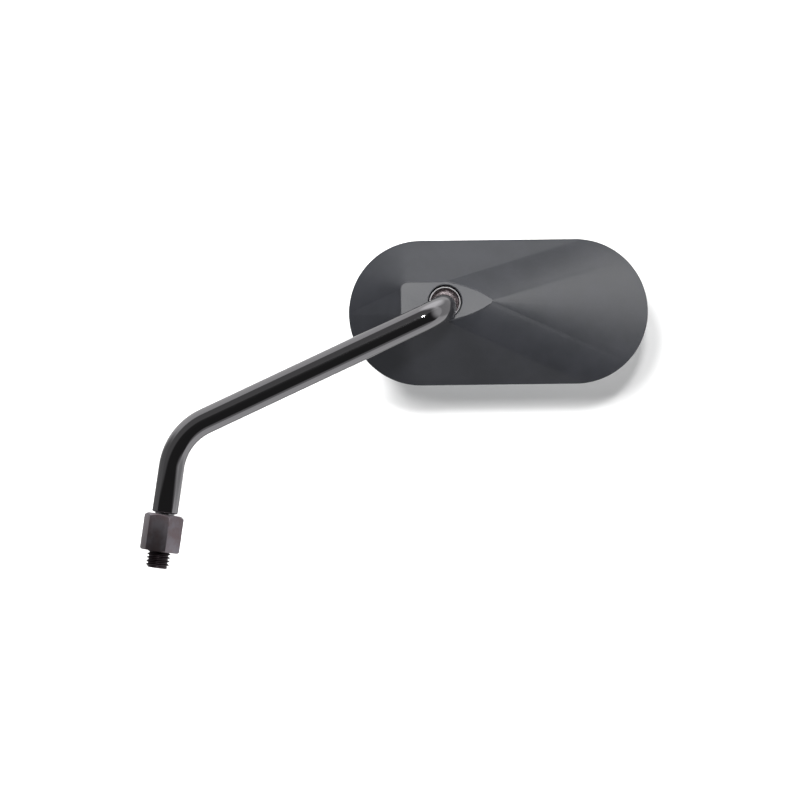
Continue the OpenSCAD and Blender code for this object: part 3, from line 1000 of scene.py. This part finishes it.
def studio_world():
    """White behind the mirror and dark in front, apart from what the gloss shows."""
    world = bpy.data.worlds.new("studio")
    world.use_nodes = True
    world.node_tree.nodes.clear()
    sheet = Sheet(world.node_tree)
    x, y, z = sheet.split(sheet.node("ShaderNodeTexCoord", {}, {}, "Generated"))
    over_leg = z * leg_along.x - x * leg_along.z
    down_leg = x * leg_along.x + z * leg_along.z
    behind = y.between(-0.36, -0.26)
    upper = over_leg.between(0.28, 0.44) * UPPER_BAND
    bands = upper + (0 - over_leg).between(0.78, 0.86) * LOWER_BAND
    window = down_leg.between(0.50, 0.84) * WINDOW_GLOW
    overhead = z.between(0.82, 0.98) * TOP_GLOW
    mirrored = sheet.node("ShaderNodeLightPath", {}, {}, "Is Glossy Ray")
    foot_end = (0 - down_leg).between(0.35, 0.65) * FOOT_SHADE
    shade = foot_end + down_leg.between(0.62, 0.80) * HEAD_SHADE
    ground = 1 - z.between(-0.18, 0.05)
    far_side = y.between(0.45, 0.75) * (FAR_SHADE + GROUND_SHADE * ground)
    back_light = behind * BACK_GLOW * (1 - mirrored * shade) * (1 - mirrored * far_side)
    level = FRONT_GLOW + back_light + (bands + window) * (1 - behind) + overhead
    seen = sheet.node("ShaderNodeLightPath", {}, {}, "Is Camera Ray")
    strength = level + seen * (1 - level)
    glow = sheet.node("ShaderNodeBackground", {}, {
        "Color": (1.0, 1.0, 1.0, 1.0), "Strength": strength})
    out = world.node_tree.nodes.new("ShaderNodeOutputWorld")
    world.node_tree.links.new(glow.socket, out.inputs["Surface"])
    bpy.context.scene.world = world
    print("nodes of the world:", len(world.node_tree.nodes))


studio_world()

# %% [markdown]
# The key lamp stands above the camera, where the flat boss and the elbow mirror it.
# Two wide lamps fill in without a reflection of their own, and one on the right
# lights the housing alone, as a small lamp held close to it would.

# %% Lamps
LAMPS_AIM = Vector((0.10, 0.02, 0.10))


def light_only(lamp, piece):
    lit = bpy.data.collections.new(lamp.name + "_lights")
    lit.objects.link(piece)
    lamp.light_linking.receiver_collection = lit


def soft_lamp(name, towards, distance, size, power, mirrored=True, only=None):
    """A square lamp in a direction from the head.

    It may stay out of reflections, or light one piece only.
    """
    data = bpy.data.lights.new(name, "AREA")
    data.shape = "SQUARE"
    data.size = size
    data.energy = power
    lamp = placed(name, data)
    way = Vector(towards).normalized()
    lamp.location = LAMPS_AIM + way * distance
    lamp.rotation_euler = way.to_track_quat("Z", "Y").to_euler()
    lamp.visible_camera = False
    lamp.visible_glossy = mirrored
    if only:
        light_only(lamp, only)
    print(name, "at m:", [round(v, 2) for v in lamp.location], "watts:", power)


soft_lamp("key_lamp", (-0.012, -0.935, 0.353), distance=3.0, size=0.32, power=36.0)
soft_lamp("side_lamp", (-0.55, -0.70, 0.46), distance=1.6, size=0.5, power=8.0,
          mirrored=False)
soft_lamp("right_lamp", (0.55, -0.76, 0.30), distance=0.9, size=0.5, power=3.0,
          only=housing)
soft_lamp("top_lamp", (0.10, -0.30, 0.95), distance=1.4, size=0.9, power=5.0,
          mirrored=False)

# %% [markdown]
# A pale floor lies well below the mirror, and a pale wall stands close behind it
# to take its shadow. Both are shown to the camera alone, from their front only,
# so that they light nothing and hide nothing from behind. The wall has a sun of
# its own: it makes the shadow as deep as it should be and leaves the mirror's own
# light as it is.

# %% Floor and wall
WHITE, PAPER = (1.0, 1.0, 1.0, 1.0), (0.92, 0.92, 0.92, 1.0)


def stage_material(name, own_light):
    """Pale paper with a light of its own, clear from behind."""
    material = bpy.data.materials.new(name)
    material.use_nodes = True
    material.node_tree.nodes.clear()
    sheet = Sheet(material.node_tree)
    paper = sheet.node("ShaderNodeBsdfDiffuse", {}, {"Color": PAPER})
    glow = sheet.node("ShaderNodeEmission", {}, {"Color": WHITE, "Strength": own_light})
    lit = sheet.node("ShaderNodeAddShader", {}, {0: paper, 1: glow})
    clear = sheet.node("ShaderNodeBsdfTransparent", {}, {})
    rear = sheet.node("ShaderNodeNewGeometry", {}, {}, "Backfacing")
    shown = sheet.node("ShaderNodeMixShader", {}, {0: rear, 1: lit, 2: clear})
    out = material.node_tree.nodes.new("ShaderNodeOutputMaterial")
    material.node_tree.links.new(shown.socket, out.inputs["Surface"])
    return material


def stage_plane(name, corners, material):
    mesh = bpy.data.meshes.new(name)
    mesh.from_pydata(corners, [], [tuple(range(len(corners)))])
    mesh.materials.append(material)
    made = placed(name, mesh)
    made.visible_diffuse = False
    made.visible_glossy = False
    made.visible_transmission = False
    made.visible_shadow = False
    made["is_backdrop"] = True
    print(name, "corners in m:", corners)
    return made


FLOOR_Z, FLOOR_REACH = -0.12, 4.0
WALL_Y, WALL_LEFT, WALL_RIGHT, WALL_TOP = 0.064, -1.0, 1.2, 1.2
floor_corners = [(x * FLOOR_REACH, y * FLOOR_REACH, FLOOR_Z)
                 for x, y in [(-1, -1), (1, -1), (1, 1), (-1, 1)]]
wall_corners = [(WALL_LEFT, WALL_Y, FLOOR_Z), (WALL_RIGHT, WALL_Y, FLOOR_Z),
                (WALL_RIGHT, WALL_Y, WALL_TOP), (WALL_LEFT, WALL_Y, WALL_TOP)]
stage_plane("floor", floor_corners, stage_material("pale_floor", 0.6))
wall = stage_plane("wall", wall_corners, stage_material("pale_wall", 0.06))

# %% Sun for the shadow
SUN_FROM = Vector((-0.35, -0.87, 0.30))
sun_data = bpy.data.lights.new("shadow_sun", "SUN")
sun_data.energy, sun_data.angle = 3.6, 0.40
shadow_sun = placed("shadow_sun", sun_data)
shadow_sun.rotation_euler = SUN_FROM.to_track_quat("Z", "Y").to_euler()
light_only(shadow_sun, wall)
bpy.context.scene.view_settings.view_transform = "Standard"

# %% [markdown]
# At the end the box of what shows is measured again, and how far it reaches past
# the imported model's box is printed. The looks may round an edge, but they don't
# outgrow the solids.

# %% The size of what was made, and the end
made_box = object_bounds()
growth = [[round((a - b) / MM, 2) for a, b in zip(m, c)]
          for m, c in zip(made_box, cad_box)]
print("grown by mm:", growth)
